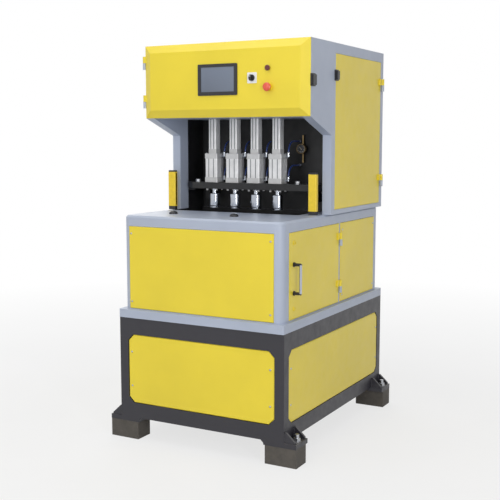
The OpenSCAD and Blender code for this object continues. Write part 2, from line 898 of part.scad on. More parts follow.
// Pyramid frustum lying in XZ: wide at the back, narrow at the front
module cover_body(inset, back) {
    x = side_x - inset;
    y0 = cover_front + inset;
    bevel = cover_bevel;
    intersection() {
        translate([0, 0, head_z + inset]) linear_extrude(head_h - 2 * inset)
            polygon([[-x, back], [-x, head_y - 2], [-x + bevel, y0], [x - bevel, y0],
                     [x, head_y - 2], [x, back]]);
        translate([-x - 1, 0, 0]) rotate([90, 0, 90]) linear_extrude(2 * x + 2)
            polygon([[back, head_z + inset], [head_y - 2, head_z + inset],
                     [y0, head_z + inset + bevel - 4], [y0, top_z - inset - bevel + 4],
                     [head_y - 2, top_z - inset], [back, top_z - inset]]);
    }
}

module head_cover() {
    color(yellow) {
        difference() {
            cover_body(0, head_y - 0.3);
            cover_body(sheet, head_y + 1);
            upright(cover_front - 1, sheet + 2) {
                round_span([hmi_x - hmi_w / 2 + 6, hmi_z - hmi_h + 6],
                           [hmi_x + hmi_w / 2 - 6, hmi_z - 6], 3);
                translate([switch_x, switch_z]) circle(7);
                translate([button_x, button_z]) circle(button_r - 3 + fit);
                translate([estop_x, estop_z]) circle(11);
            }
        }
        for (z = cover_hinge_z) {
            hinge_upper(cover_hinge_x, head_y, z);
            difference() {
                translate([0, 0, z + barrel_h + 0.3]) linear_extrude(barrel_h)
                    polygon([[cover_hinge_x, head_y - 0.3], [cover_hinge_x, head_y - barrel_r],
                             [-side_x + 2, head_y - barrel_r], [-side_x + 11, head_y - 7],
                             [-side_x + 11, head_y - 0.3]]);
                translate([cover_hinge_x, head_y, z])
                    cylinder(r = barrel_r - 1, h = 3 * barrel_h);
            }
        }
    }
}

module hmi_bezel() {
    color(black) difference() {
        union() {
            upright(cover_front - 5, 5) round_span([hmi_x - hmi_w / 2, hmi_z - hmi_h],
                                                   [hmi_x + hmi_w / 2, hmi_z], 5);
            upright(cover_front - eps, 21)
                span([hmi_x - hmi_w / 2 + 7, hmi_z - hmi_h + 7], [hmi_x + hmi_w / 2 - 7, hmi_z - 7]);
        }
        upright(cover_front - 6, 4)
            span([hmi_x - hmi_w / 2 + 17, hmi_z - hmi_h + 17], [hmi_x + hmi_w / 2 - 17, hmi_z - 15]);
    }
}

module hmi_screen() {
    color([0.25, 0.31, 0.40]) upright(cover_front - 3, 1)
        span([hmi_x - hmi_w / 2 + 17.3, hmi_z - hmi_h + 17.3],
             [hmi_x + hmi_w / 2 - 17.3, hmi_z - 15.3]);
}

module switch_plate() {
    color(silver) difference() {
        union() {
            upright(cover_front - 3, 3) translate([switch_x, switch_z])
                round_span([-switch_w / 2, -switch_w / 2], [switch_w / 2, switch_w / 2], 4);
            upright(cover_front - eps, 20) translate([switch_x, switch_z]) circle(6.6);
        }
        upright(cover_front - 4, 18) translate([switch_x, switch_z]) circle(4 + fit);
    }
}

module switch_knob() {
    color(black) {
        translate([switch_x, cover_front - 3.3, switch_z]) rotate([90, 0, 0]) {
            cylinder(r = 15, h = 7);
            translate([0, 0, 7 - eps]) linear_extrude(13) round_span([-5, -14], [5, 14], 4.5);
        }
        upright(cover_front - 3.4, 15) translate([switch_x, switch_z]) circle(4);
    }
}

module signal_button() {
    color([0.45, 0.06, 0.04]) translate([button_x, cover_front - 0.3, button_z])
        rotate([90, 0, 0]) {
            translate([0, 0, 4]) cylinder(r = button_r, h = 5);
            translate([0, 0, -18]) cylinder(r = button_r - 3, h = 22 + eps);
            translate([0, 0, 9 - eps]) cylinder(r1 = button_r, r2 = button_r - 2, h = 2);
        }
}

module estop_collar() {
    color([0.72, 0.56, 0.12]) difference() {
        union() {
            upright(cover_front - 4, 4) translate([estop_x, estop_z]) circle(17);
            upright(cover_front - eps, 22) translate([estop_x, estop_z]) circle(10.7);
        }
        upright(cover_front - 5, 23) translate([estop_x, estop_z]) circle(6 + fit);
    }
}

module estop_button() {
    color([0.70, 0.16, 0.12]) translate([estop_x, cover_front, estop_z]) rotate([90, 0, 0])
        rotate_extrude()
            polygon(concat([[0, -12], [6, -12], [6, 10], [12, 11], [estop_r - 2, 15], [estop_r, 18]],
                           [for (a = [0:10:90]) [estop_r * cos(a), 20 + 8 * sin(a)]],
                           [[0, 28]]));
}

// Turn latch on its stud, lying across the seam between front and back
module latch(y, z, front, back, h) {
    translate([side_x + 0.3, y, z]) rotate([90, 0, 90]) difference() {
        union() {
            linear_extrude(6) round_span([-front, -h / 2], [back, h / 2], 6);
            translate([0, 0, 6 - eps]) linear_extrude(8)
                round_span([-front + 6, -h / 2 + 5], [back - 6, h / 2 - 5], 5);
        }
        translate([0, 0, -1]) cylinder(r = 5 + fit, h = 7.2);
    }
}

module cover_latch() {
    color(black) latch(head_y + latch_back, latch_z, latch_back + 6, 17, 58);
}

module door_latch_right() {
    color(black) latch(upper_front + latch_front, door_latch_z, latch_front + 15, 10, 52);
}

module door_latch_left() {
    color(black) mirror([1, 0, 0])
        latch(upper_front + latch_front, door_latch_z, latch_front + 15, 10, 52);
}

module upper_door() {
    a = [upper_front + panel_gap, upper_low + panel_gap];
    b = [upper_rear - panel_gap, upper_top - panel_gap];
    translate([side_x - sheet, 0, 0]) rotate([90, 0, 90]) tray(a, b, sheet);
    latch_stud(upper_front + latch_front, door_latch_z);
    for (z = upper_hinge_z) {
        hinge_upper(upper_hinge_x, upper_hinge_y, z);
        difference() {
            union() {
                block([side_x - 1, b[0] - 24, z + barrel_h + 0.3],
                      [upper_hinge_x, b[0], z + 2 * barrel_h + 0.3]);
                block([side_x + 0.5, b[0] - 24, z + barrel_h + 0.3],
                      [upper_hinge_x, upper_hinge_y, z + 2 * barrel_h + 0.3]);
            }
            translate([upper_hinge_x, upper_hinge_y, z]) cylinder(r = barrel_r - 1, h = 3 * barrel_h);
        }
    }
}

module upper_door_right() {
    color(yellow) upper_door();
}

module upper_door_left() {
    color(yellow) mirror([1, 0, 0]) upper_door();
}

// Work zone

liner_front = part_y + 9;

module work_liner() {
    x = side_in;
    y0 = liner_front;
    color(black) difference() {
        block([-x, y0, table_z], [x, liner_rear, head_z]);
        block([-x + liner_t, y0 - 1, table_z - 1], [x - liner_t, liner_rear - liner_t, head_z + 1]);
    }
}

gear_y = liner_rear + 15;

gear_x = side_in - 78;
gear_low = table_z + 40;
gear_high = head_z - 20;
gear_rail = 8;
gear_rows = [[head_z - 100, [[-280, 170, 100, 80], [-100, 90, 100, 80], [40, 60, 124, 112],
                             [120, 18, 86, 68], [140, 18, 86, 68], [160, 54, 86, 68]]],
             [head_z - 260, [[-280, 45, 80, 90], [-232, 45, 80, 90], [-184, 45, 80, 90],
                             [-120, 90, 60, 60], [-10, 280, 46, 52]]]];

// Mounting rail with a row of switchgear on it, as [x, width, height, depth]
module gear_row(z, row) {
    block([30 - gear_x, gear_y - eps, z - 17], [gear_x - 30, gear_y + gear_rail, z + 17]);
    for (g = row) block([g[0], gear_y + gear_rail - eps, z - g[2] / 2],
                        [g[0] + g[1], gear_y + g[3], z + g[2] / 2]);
}

module control_panel() {
    color(black) {
        upright(gear_y - sheet, sheet) span([-gear_x, gear_low], [gear_x, gear_high]);
        for (s = [-1, 1], z = [gear_low + 20, gear_high - 20])
            translate([s * (gear_x - 20), liner_rear, z]) rotate([-90, 0, 0])
                cylinder(r = 8, h = gear_y - sheet - liner_rear + eps);
        for (row = gear_rows) gear_row(row[0], row[1]);
    }
}

valves = 9;
valve_pitch = 44;
valve_w = 36;
valve_d = 34;
valve_h = 32;
solenoid_h = 30;
manifold_w = valves * valve_pitch + 4;
manifold_d = 46;
manifold_h = 44;

module valve_manifold() {
    z = table_z + inlet_rise;
    color(silver) {
        block([-manifold_w / 2, gear_y, z - manifold_h / 2],
              [manifold_w / 2, gear_y + manifold_d, z + manifold_h / 2]);
        for (k = [0 : valves - 1])
            translate([(k - (valves - 1) / 2) * valve_pitch, gear_y + manifold_d - eps, z]) {
                block([-valve_w / 2, 0, -valve_h / 2], [valve_w / 2, valve_d, valve_h / 2]);
                translate([0, valve_d / 2, valve_h / 2 - eps]) cylinder(r = 12, h = solenoid_h);
            }
    }
}

cross_x = side_in - liner_t;
strap_inset = 90;

module cross_plate() {
    hole_r = seal_rod_r + fit;
    y0 = part_y - cross_d / 2;
    y1 = part_y + cross_d / 2;
    cut = liner_front - y0;
    strap_x = cross_x - strap_inset;
    color(black) {
        difference() {
            translate([0, 0, cross_low]) linear_extrude(cross_t)
                polygon([[cut - cross_x, y0], [cross_x - cut, y0], [cross_x, liner_front],
                         [cross_x, y1], [-cross_x, y1], [-cross_x, liner_front]]);
            for (i = [0 : cavities - 1]) translate([row_x(i), part_y, cross_low - 1])
                cylinder(r = hole_r, h = cross_t + 2);
        }
        for (s = [-1, 1]) {
            block([s > 0 ? cross_x - 40 : -cross_x, liner_front + 2, cross_low - 14],
                  [s > 0 ? cross_x : 40 - cross_x, y1 - 10, cross_low + eps]);
            block([s * strap_x - 14, y1 - eps, cross_low - 60],
                  [s * strap_x + 14, liner_rear - liner_t, seal_z]);
        }
    }
}

// Outline of the extruded profile with two grooves a side
module profile_outline(w, bore) {
    g = 5;
    difference() {
        round_span([-w / 2, -w / 2], [w / 2, w / 2], 6);
        circle(bore);
        for (a = [0:90:270]) rotate(a) for (s = [-1, 1])
            translate([s * w / 5 - g / 2, w / 2 - 3]) square([g, 4]);
    }
}

module square_ring(r, d) {
    for (x = [-d, d], y = [-d, d]) translate([x, y]) circle(r);
}

tie = seal_w / 2 - 10;

module seal_cylinder(i) {
    bore_h = seal_h - 2 * seal_cap;
    color(silver) translate([row_x(i), part_y, 0]) difference() {
        union() {
            for (z = [seal_z, seal_z + seal_h - seal_cap]) translate([0, 0, z])
                linear_extrude(seal_cap)
                    round_span([-seal_w / 2, -seal_w / 2], [seal_w / 2, seal_w / 2], 6);
            translate([0, 0, seal_z + seal_cap - eps]) linear_extrude(bore_h + 2 * eps)
                profile_outline(seal_w - 5, seal_bore_r);
            translate([0, 0, cross_low - 10]) linear_extrude(10) square_ring(5.5, tie);
        }
        translate([0, 0, seal_z + seal_cap]) cylinder(r = seal_bore_r, h = bore_h);
        translate([0, 0, seal_z - 1]) cylinder(r = seal_rod_r + fit, h = seal_h + 2);
    }
}

module stretch_cylinders() {
    w = stretch_w;
    color(silver) for (i = [0 : cavities - 1]) translate([row_x(i), part_y, 0]) difference() {
        union() {
            for (z = [stretch_z, stretch_top - stretch_cap]) translate([0, 0, z])
                linear_extrude(stretch_cap) round_span([-w / 2, -w / 2], [w / 2, w / 2], 5);
            translate([0, 0, stretch_z + stretch_cap - eps])
                linear_extrude(stretch_h - 2 * stretch_cap + 2 * eps)
                    profile_outline(w - 2, stretch_bore_r);
        }
        translate([0, 0, stretch_z - 1]) cylinder(r = rod_bore, h = stretch_cap + 2);
    }
}

module nozzle(i) {
    piston_z = seal_z + seal_h - seal_cap - seal_piston_h - 1;
    color(silver) translate([row_x(i), part_y, 0]) rotate_extrude()
        polygon([[rod_bore, nozzle_low], [nozzle_r - 3, nozzle_low], [nozzle_r, nozzle_low + 2],
                 [nozzle_r, nozzle_low + 10], [nozzle_r - 1, nozzle_low + 11],
                 [nozzle_r - 1, nozzle_low + 13], [nozzle_r, nozzle_low + 14],
                 [nozzle_r, nozzle_top - 3], [nozzle_r - 3, nozzle_top],
                 [seal_rod_r, nozzle_top], [seal_rod_r, piston_z],
                 [seal_bore_r - fit, piston_z], [seal_bore_r - fit, piston_z + seal_piston_h],
                 [rod_bore, piston_z + seal_piston_h]]);
}

module stretch_rod(i) {
    color(silver) translate([row_x(i), part_y, 0]) rotate_extrude()
        polygon([[0, rod_tip], [rod_r - 3, rod_tip], [rod_r, rod_tip + 5],
                 [rod_r, rod_top - piston_h], [stretch_bore_r - fit, rod_top - piston_h],
                 [stretch_bore_r - fit, rod_top], [0, rod_top]]);
}

// Light curtains, gauge and air fittings

curtain_y = open_front + 27;
curtain_d = 24;
curtain_left = -side_x + 2;
curtain_right = side_in - 8 - curtain_w;
foot_h = 18;
lens_depth = 2;
lens_margin = 6;

// Light curtain from x on, its lens groove in the face at face_x
module curtain(x, face_x) {
    translate([0, 0, table_z + foot_h]) linear_extrude(curtain_h) difference() {
        round_span([x, curtain_y], [x + curtain_w, curtain_y + curtain_d], 5);
        span([face_x - lens_depth, curtain_y + lens_margin],
             [face_x + lens_depth, curtain_y + curtain_d - lens_margin]);
    }
}

module light_curtains() {
    color(yellow) {
        curtain(curtain_left, curtain_left + curtain_w);
        curtain(curtain_right, curtain_right);
    }
}

// Domed cap with its stem in a lifting hole
module lift_cap(x) {
    cap_r = 21;
    stem = table_t - 1;
    translate([x, lift_y, table_z]) rotate_extrude()
        polygon(concat([[0, -stem], [lift_hole_r - fit, -stem], [lift_hole_r - fit, 0], [cap_r, 0]],
                       [for (a = [0:15:90]) [cap_r * cos(a), 4 + 11 * sin(a)]]));
}

module curtain_caps() {
    color(black) {
        for (x = [curtain_left, curtain_right]) {
            block([x + 2, curtain_y + 2, table_z],
                  [x + curtain_w - 2, curtain_y + curtain_d - 2, table_z + foot_h]);
            translate([0, 0, table_z + foot_h + curtain_h]) linear_extrude(8)
                round_span([x + 1, curtain_y + 1], [x + curtain_w - 1, curtain_y + curtain_d - 1], 5);
        }
        for (x = lift_x) lift_cap(x);
    }
}

gauge = [row_x(cavities - 1) + 70, liner_rear - liner_t, seal_z + 173];
gauge_pipe = 140;

module pressure_gauge() {
    color(silver) {
        translate(gauge) rotate([90, 0, 0]) {
            cylinder(r = 9, h = 26);
            translate([0, 0, 22]) difference() {
                cylinder(r = 25, h = 20);
                translate([0, 0, 17]) cylinder(r = 22, h = 4);
            }
            translate([0, 0, 38]) cylinder(r = 3, h = 2.4);
        }
        translate(gauge + [0, -13, -gauge_pipe / 2]) cylinder(r = 6, h = gauge_pipe);
    }
}

// Elbow fitting on the right face of a cylinder cover
elbow_reach = 14;
elbow_h = 20;
tube_r = 4;
tube_bend = 56;
tube_y = part_y + 14;
port_levels = [seal_z + seal_cap / 2, seal_z + seal_h - seal_cap / 2];

function elbow_x(i) = row_x(i) + seal_w / 2 + elbow_reach;

module elbow(i, z) {
    translate([elbow_x(i), tube_y, z]) {
        translate([-elbow_reach, 0, 0]) rotate([0, 90, 0]) cylinder(r = 6.5, h = elbow_reach);
        sphere(7.5);
        cylinder(r = 7.5, h = elbow_h);
    }
}

// Air tube from an elbow up, back and into its fitting on the liner
module air_tube(i, z) {
    straight = liner_rear - liner_t - tube_y - tube_bend;
    translate([elbow_x(i), tube_y, z + elbow_h]) {
        translate([0, tube_bend, 0]) rotate([0, -90, 0]) rotate([0, 0, -90]) rotate_extrude(angle = 90)
            translate([tube_bend, 0]) circle(tube_r);
        translate([0, tube_bend, tube_bend]) rotate([-90, 0, 0]) cylinder(r = tube_r, h = straight - 8);
        translate([0, tube_bend + straight - 14, tube_bend]) rotate([-90, 0, 0])
            cylinder(r = 8, h = 14);
    }
}

module pipe_fittings() {
    color(silver) for (i = [0 : cavities - 1], z = port_levels) {
        elbow(i, z);
        air_tube(i, z);
    }
}

module air_inlet() {
    color(silver) translate([inlet_x, cab_rear, inlet_z]) rotate([-90, 0, 0]) difference() {
        union() {
            translate([0, 0, -inlet_in]) cylinder(r = 17.5, h = inlet_in);
            cylinder(r = 26, h = 8, $fn = 6);
            cylinder(r = 17, h = inlet_out);
        }
        translate([0, 0, -inlet_in - 1]) cylinder(r = 10, h = inlet_in + inlet_out + 2);
    }
}

base_frame();
foot_plates();
foot_blocks();
anchor_bolts();
base_panels();
rim_plate();
clamp_housing();
front_panel();
rear_panel();
side_door_right();
side_door_left();
door_handle_right();
door_handle_left();
rear_side_panels();
clamp_plates();
tie_bars();
clamp_cylinders();
platen_front();
platen_rear();
mould_front();
mould_rear();
side_frame_right();
side_frame_left();
head_shell();
upper_rear_panel();
head_cover();
hmi_bezel();
hmi_screen();
switch_plate();
switch_knob();
signal_button();
estop_collar();
estop_button();
upper_door_right();
upper_door_left();
cover_latch();
door_latch_right();
door_latch_left();
work_liner();
control_panel();
valve_manifold();
cross_plate();
light_curtains();
curtain_caps();
pressure_gauge();
pipe_fittings();
air_inlet();
stretch_cylinders();
for (i = [1:4]) {
    seal_cylinder(i - 1);
    nozzle(i - 1);
    stretch_rod(i - 1);
}
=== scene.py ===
import json
import math

import bmesh
import bpy
from mathutils import Matrix, Vector


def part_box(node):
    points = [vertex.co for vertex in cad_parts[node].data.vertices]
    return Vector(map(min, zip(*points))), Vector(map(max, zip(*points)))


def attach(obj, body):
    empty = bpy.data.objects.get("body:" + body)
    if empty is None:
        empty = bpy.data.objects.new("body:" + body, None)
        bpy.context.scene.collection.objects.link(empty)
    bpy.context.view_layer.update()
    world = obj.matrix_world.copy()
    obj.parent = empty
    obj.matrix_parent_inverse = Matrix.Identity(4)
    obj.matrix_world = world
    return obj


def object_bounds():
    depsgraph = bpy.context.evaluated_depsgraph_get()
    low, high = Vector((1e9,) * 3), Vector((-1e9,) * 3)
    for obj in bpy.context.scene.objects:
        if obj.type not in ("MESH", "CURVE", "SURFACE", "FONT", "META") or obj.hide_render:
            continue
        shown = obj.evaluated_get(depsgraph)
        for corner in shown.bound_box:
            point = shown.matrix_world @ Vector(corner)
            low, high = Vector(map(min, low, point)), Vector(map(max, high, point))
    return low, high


# Looks of a stretch blow moulding machine with four stations: finishes for its CAD nodes, small
# fasteners, welds, strips and marks that the CAD leaves out, and the stage, light and camera.

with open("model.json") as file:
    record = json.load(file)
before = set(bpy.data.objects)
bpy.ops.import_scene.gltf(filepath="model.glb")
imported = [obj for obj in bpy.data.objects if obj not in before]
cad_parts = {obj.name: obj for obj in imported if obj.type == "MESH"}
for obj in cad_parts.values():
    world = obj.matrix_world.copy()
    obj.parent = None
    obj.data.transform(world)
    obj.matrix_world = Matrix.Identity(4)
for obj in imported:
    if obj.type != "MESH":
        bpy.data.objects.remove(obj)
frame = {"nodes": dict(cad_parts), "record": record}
cad_low, cad_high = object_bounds()
nodes = frame["nodes"]
MM = 0.001
# The blowing stations, numbered from the left
STATIONS = range(1, 5)

# Colours


def srgb(r, g, b):
    """Linear colour of an 8-bit sRGB colour."""
    def linear(v):
        v /= 255
        return v / 12.92 if v <= 0.04045 else ((v + 0.055) / 1.055) ** 2.4
    return (linear(r), linear(g), linear(b), 1.0)


def shade(colour, factor):
    """colour made darker or lighter by factor."""
    return (colour[0] * factor, colour[1] * factor, colour[2] * factor, 1.0)


YELLOW = srgb(236, 213, 52)
BLUE_GREY = srgb(174, 183, 201)
CHARCOAL = srgb(41, 40, 47)
# Near black: the black metal paint, and the painted shade inside the housing
BLACK_AND_PAINTED_SHADE = srgb(17, 17, 20)
FOOT_GREY = srgb(88, 84, 79)
DUST = srgb(196, 192, 184)
ALUMINIUM = srgb(240, 240, 240)
CAST_GREY = srgb(206, 206, 206)
STEEL = srgb(178, 180, 184)
CHROME = srgb(178, 183, 192)
BRASS = srgb(138, 118, 84)
BLACK_PLASTIC = srgb(34, 34, 38)
# Painted shade: grey of the strips that darken the sensor grooves of the cylinders
GROOVE_SHADE_GREY = srgb(126, 128, 132)
MARK_WHITE = srgb(226, 224, 216)
DIAL_BLACK = srgb(46, 47, 50)
LENS_RED = srgb(58, 14, 16)
SCREEN_BLUE = srgb(98, 108, 126)
# Paler colour of the painted reflection on the screen
SCREEN_PAINTED_SHEEN = srgb(120, 132, 150)
TUBE_BLUE = srgb(38, 60, 120)
RED = srgb(226, 84, 58)
DARK_RED = srgb(96, 16, 16)
SAFETY_YELLOW = srgb(240, 206, 40)
FLOOR_DARK = (0.62, 0.62, 0.62, 1)
FLOOR_LIGHT = (0.66, 0.66, 0.66, 1)
WHITE = (1, 1, 1, 1)

# Materials


class NodeTree:
    """Short calls for building the nodes of a material or a world."""

    def __init__(self, tree):
        self.tree = tree

    def feed(self, socket, value):
        """Links another socket to this one, or gives it a constant."""
        if hasattr(value, "is_output"):
            self.tree.links.new(value, socket)
        else:
            socket.default_value = value

    def node(self, kind, **inputs):
        made = self.tree.nodes.new(kind)
        for key, value in inputs.items():
            self.feed(made.inputs[key.replace("_", " ")], value)
        return made

    def ramp(self, source, low, high, start=0.0, end=1.0):
        """source mapped from start..end to low..high."""
        made = self.node("ShaderNodeMapRange", Value=source,
                         From_Min=start, From_Max=end, To_Min=low, To_Max=high)
        return made.outputs["Result"]

    def math(self, operation, first, second):
        made = self.node("ShaderNodeMath")
        made.operation = operation
        for socket, value in zip(made.inputs, (first, second)):
            self.feed(socket, value)
        return made.outputs[0]

    def vector_math(self, operation, *vectors):
        """The number that the operation makes of one or two vectors."""
        made = self.node("ShaderNodeVectorMath")
        made.operation = operation
        for socket, value in zip(made.inputs, vectors):
            self.feed(socket, value)
        return made.outputs["Value"]

    def seen_directly(self):
        """1 for the camera's rays and those that gloss sends on, 0 for the light on the object."""
        path = self.node("ShaderNodeLightPath")
        gloss = self.math("MAXIMUM", path.outputs["Is Glossy Ray"], path.outputs["Is Transmission Ray"])
        return self.math("MAXIMUM", path.outputs["Is Camera Ray"], gloss)


class Shader(NodeTree):
    """One material and its Principled shader."""

    def __init__(self, name):
        self.material = bpy.data.materials.new(name)
        self.material.use_nodes = True
        super().__init__(self.material.node_tree)
        self.bsdf = self.tree.nodes["Principled BSDF"]

    def position(self, scale=(1, 1, 1)):
        """Object coordinates in metres, stretched by scale."""
        place = self.node("ShaderNodeTexCoord").outputs["Object"]
        return self.node("ShaderNodeMapping", Vector=place, Scale=scale).outputs["Vector"]

    def noise(self, size, detail=3, stretch=(1, 1, 1), roughness=0.55):
        """Noise whose features are about size metres wide."""
        made = self.node("ShaderNodeTexNoise", Vector=self.position(stretch),
                         Scale=1 / size, Detail=detail, Roughness=roughness)
        return made.outputs["Fac"]

    def mix(self, factor, first, second):
        """Colour between first and second, each a colour or a socket."""
        made = self.node("ShaderNodeMix")
        made.data_type = "RGBA"
        # By number, because the sockets of all data types share their names
        for index, value in ((0, factor), (6, first), (7, second)):
            self.feed(made.inputs[index], value)
        return made.outputs[2]

    def edges(self, radius):
        """1 along convex edges and 0 on the flats."""
        rounded = self.node("ShaderNodeBevel", Radius=radius)
        rounded.samples = 4
        plain = self.node("ShaderNodeNewGeometry")
        alike = self.vector_math("DOT_PRODUCT", rounded.outputs["Normal"], plain.outputs["Normal"])
        on_edge, on_flat = 0.86, 0.99
        return self.ramp(alike, 1.0, 0.0, on_edge, on_flat)

    def upward(self):
        """1 where the surface faces up."""
        plain = self.node("ShaderNodeNewGeometry")
        split = self.node("ShaderNodeSeparateXYZ", Vector=plain.outputs["Normal"])
        return self.ramp(split.outputs["Z"], 0.0, 1.0, 0.6, 1.0)

    def bump(self, height, strength, distance):
        made = self.node("ShaderNodeBump", Height=height, Strength=strength, Distance=distance)
        self.set(Normal=made.outputs["Normal"])

    def colour(self, value):
        self.set(Base_Color=value)

    def set(self, **inputs):
        """Feeds sockets of the Principled shader, with _ for the spaces in their names."""
        for key, value in inputs.items():
            self.feed(self.bsdf.inputs[key.replace("_", " ")], value)


def paint(name, colour, roughness=0.3, coat=0.35, peel=0.0035, wear=0.35, dust=0.12, coat_roughness=0.12):
    """Sprayed enamel on sheet steel: orange peel, faint clouding, paler edges and dust on top."""
    s = Shader(name)
    cloud = s.ramp(s.noise(0.35, 4), 0.0, 1.0, 0.35, 0.65)
    base = s.mix(cloud, shade(colour, 0.955), shade(colour, 1.02))
    worn = s.math("MULTIPLY", s.edges(0.0018), s.ramp(s.noise(0.02, 5), 0.2, 1.0, 0.4, 0.6))
    pale = s.mix(s.math("MULTIPLY", worn, wear), base, shade(colour, 1.45))
    settled = s.math("MULTIPLY", s.upward(), s.ramp(s.noise(0.09, 5), 0.0, dust, 0.4, 0.75))
    s.colour(s.mix(settled, pale, DUST))
    s.set(Roughness=s.ramp(s.noise(0.05, 4), roughness * 0.85, roughness * 1.2, 0.3, 0.7))
    s.set(Coat_Weight=coat, Coat_Roughness=coat_roughness)
    s.bump(s.noise(peel, 2), 0.10, 0.0004)
    return s.material


def brushed(name, colour, roughness, stretch, grain=0.0016, metallic=1.0, bump=0.12):
    """Drawn or ground metal with a grain along the short side of stretch."""
    s = Shader(name)
    lines = s.noise(grain, 4, stretch, 0.7)
    cloud = s.noise(0.06, 3)
    tone = s.math("ADD", s.ramp(lines, -0.06, 0.06, 0.3, 0.7), s.ramp(cloud, 0.0, 1.0, 0.3, 0.7))
    s.colour(s.mix(tone, shade(colour, 0.86), shade(colour, 1.04)))
    s.set(Metallic=metallic, Roughness=s.ramp(lines, roughness * 0.8, roughness * 1.25, 0.3, 0.7))
    s.bump(lines, bump, 0.0002)
    return s.material


def cast(name, colour, roughness=0.5):
    """Die-cast cover, blasted and clear anodised."""
    s = Shader(name)
    patch = s.ramp(s.noise(0.03, 5), 0.0, 1.0, 0.35, 0.65)
    rubbed = s.math("MULTIPLY", s.edges(0.0008), 0.5)
    base = s.mix(patch, shade(colour, 0.93), shade(colour, 1.03))
    s.colour(s.mix(rubbed, base, shade(colour, 1.25)))
    s.set(Metallic=0.35, Roughness=s.ramp(patch, roughness * 0.9, roughness * 1.15))
    s.bump(s.noise(0.0012, 4, roughness=0.7), 0.2, 0.0002)
    return s.material


def chrome(name):
    """Hard chrome with a faint wipe of oil."""
    s = Shader(name)
    film = s.noise(0.03, 4, (1, 1, 0.4))
    s.colour(s.mix(s.ramp(film, 0.0, 1.0, 0.35, 0.7), shade(CHROME, 0.94), CHROME))
    s.set(Metallic=1.0, Roughness=s.ramp(film, 0.08, 0.13, 0.3, 0.7))
    return s.material


def plastic(name, colour, roughness=0.45, grain=0.0012, bump=0.25, coat=0.0):
    """Moulded plastic with a fine spark-eroded grain."""
    s = Shader(name)
    cloud = s.ramp(s.noise(0.02, 3), 0.0, 1.0, 0.3, 0.7)
    s.colour(s.mix(cloud, shade(colour, 0.92), shade(colour, 1.06)))
    s.set(Roughness=s.ramp(s.noise(0.008, 4), roughness * 0.85, roughness * 1.15, 0.3, 0.7))
    s.set(Coat_Weight=coat, Coat_Roughness=0.05)
    s.bump(s.noise(grain, 3), bump, 0.00015)
    return s.material


def block_material(name):
    """Rough cast foot block with scale and scuffed edges."""
    s = Shader(name)
    patch = s.ramp(s.noise(0.05, 6, roughness=0.65), 0.0, 1.0, 0.35, 0.65)
    base = s.mix(patch, shade(FOOT_GREY, 0.72), shade(FOOT_GREY, 1.12))
    rubbed = s.math("MULTIPLY", s.edges(0.003), 0.6)
    s.colour(s.mix(rubbed, base, shade(FOOT_GREY, 1.7)))
    s.set(Roughness=s.ramp(patch, 0.6, 0.85), Specular_IOR_Level=0.35)
    s.bump(s.noise(0.004, 5, roughness=0.7), 0.45, 0.0008)
    return s.material


def galvanised(name):
    """Zinc with its spangle."""
    s = Shader(name)
    cells = s.node("ShaderNodeTexVoronoi", Vector=s.position(), Scale=140.0)
    tone = s.ramp(cells.outputs["Distance"], 0.0, 1.0, 0.0, 0.8)
    s.colour(s.mix(tone, shade(STEEL, 0.82), shade(STEEL, 1.1)))
    s.set(Metallic=1.0, Roughness=s.ramp(tone, 0.28, 0.45))
    s.bump(s.noise(0.003, 3), 0.08, 0.0002)
    return s.material


def screen_material(name):
    """Touch screen that is switched off, with painted reflection on its glass: darker at the bottom,
    lighter at the top, and paler towards the right edge.
    """
    s = Shader(name)
    low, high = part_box("hmi_screen")
    place = s.node("ShaderNodeTexCoord").outputs["Object"]
    split = s.node("ShaderNodeSeparateXYZ", Vector=place)
    across = s.ramp(split.outputs["X"], 0.0, 1.0, low[0], high[0])
    up = s.ramp(split.outputs["Z"], 0.0, 1.0, low[2], high[2])
    # Painted reflection: the glass darker at the bottom and lighter at the top, then paler towards the
    # right
    glass = s.mix(up, shade(SCREEN_BLUE, 0.85), shade(SCREEN_BLUE, 1.15))
    painted_sheen = s.ramp(across, 0.0, 0.35, 0.2, 1.0)
    s.colour(s.mix(painted_sheen, glass, SCREEN_PAINTED_SHEEN))
    s.set(Roughness=s.ramp(s.noise(0.02, 4), 0.10, 0.2, 0.3, 0.7), Coat_Weight=0.8, Coat_Roughness=0.04)
    s.bump(s.noise(0.004, 2), 0.02, 0.0001)
    return s.material


MATERIALS = {
    "yellow_paint": paint("yellow_paint", YELLOW, 0.38, 0.2),
    "grey_paint": paint("grey_paint", BLUE_GREY, 0.42, 0.15, coat_roughness=0.3),
    "charcoal_paint": paint("charcoal_paint", CHARCOAL, 0.45, 0.1, peel=0.0022, wear=0.55, dust=0.3),
    "block_paint": block_material("block_paint"),
    "black_metal": paint("black_metal", BLACK_AND_PAINTED_SHADE, 0.5, 0.05, peel=0.002, wear=0.5),
    "aluminium": brushed("aluminium", ALUMINIUM, 0.4, (1, 1, 0.03), metallic=0.2),
    "steel": brushed("steel", STEEL, 0.36, (0.04, 1, 1)),
    "chrome": chrome("chrome"),
    "galvanised": galvanised("galvanised"),
    "black_plastic": plastic("black_plastic", BLACK_PLASTIC, 0.42),
    "screen": screen_material("screen"),
    "dark_red": plastic("dark_red", DARK_RED, 0.2, grain=0.002, bump=0.1, coat=0.6),
    "red_plastic": plastic("red_plastic", RED, 0.3, grain=0.0015, bump=0.15, coat=0.4),
    "yellow_plastic": plastic("yellow_plastic", SAFETY_YELLOW, 0.34, grain=0.0014, bump=0.15, coat=0.3),
}

# Finishes that differ from the one of the slot they stand in

CAST_COVER = cast("cast_cover", CAST_GREY)
AGED_BRASS = brushed("aged_brass", BRASS, 0.34, (1, 1, 1), grain=0.004, metallic=0.9, bump=0.05)
AIR_TUBE = plastic("air_tube", TUBE_BLUE, 0.28, grain=0.004, bump=0.05, coat=0.3)
